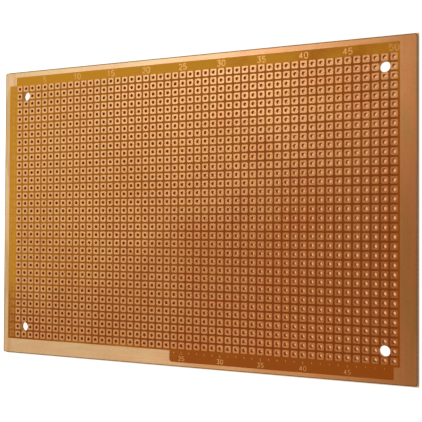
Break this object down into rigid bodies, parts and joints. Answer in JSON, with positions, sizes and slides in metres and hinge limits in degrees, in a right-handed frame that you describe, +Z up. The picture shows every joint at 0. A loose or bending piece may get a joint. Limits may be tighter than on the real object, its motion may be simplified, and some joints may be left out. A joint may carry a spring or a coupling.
{
  "type": "prototype board",
  "caption": "Thin rectangular solder prototype board: a drilled laminate with a grid of separate square copper pads, a copper border and corner mounting holes.",
  "frame": {"origin": "middle of the laminate's underside", "axes": "+X along the rows towards the last column, +Y towards the first row, +Z up out of the copper side"},
  "size_m": [0.1364, 0.093, 0.0016],
  "materials": {
    "phenolic_laminate": "amber resin-bonded paper, satin gloss on both faces",
    "copper_foil": null
  },
  "bodies": {
    "root": {"laminate": "phenolic_laminate", "border_foil": "copper_foil", "pads_row_01": "copper_foil", "pads_row_02": "copper_foil", "pads_row_03": "copper_foil", "pads_row_04": "copper_foil", "pads_row_05": "copper_foil", "pads_row_06": "copper_foil", "pads_row_07": "copper_foil", "pads_row_08": "copper_foil", "pads_row_09": "copper_foil", "pads_row_10": "copper_foil", "pads_row_11": "copper_foil", "pads_row_12": "copper_foil", "pads_row_13": "copper_foil", "pads_row_14": "copper_foil", "pads_row_15": "copper_foil", "pads_row_16": "copper_foil", "pads_row_17": "copper_foil", "pads_row_18": "copper_foil", "pads_row_19": "copper_foil", "pads_row_20": "copper_foil", "pads_row_21": "copper_foil", "pads_row_22": "copper_foil", "pads_row_23": "copper_foil", "pads_row_24": "copper_foil", "pads_row_25": "copper_foil", "pads_row_26": "copper_foil", "pads_row_27": "copper_foil", "pads_row_28": "copper_foil", "pads_row_29": "copper_foil", "pads_row_30": "copper_foil", "pads_row_31": "copper_foil", "pads_row_32": "copper_foil", "pads_row_33": "copper_foil", "column_numbers": "copper_foil", "row_numbers": "copper_foil", "bottom_scale": "copper_foil"}
  },
  "joints": []
}
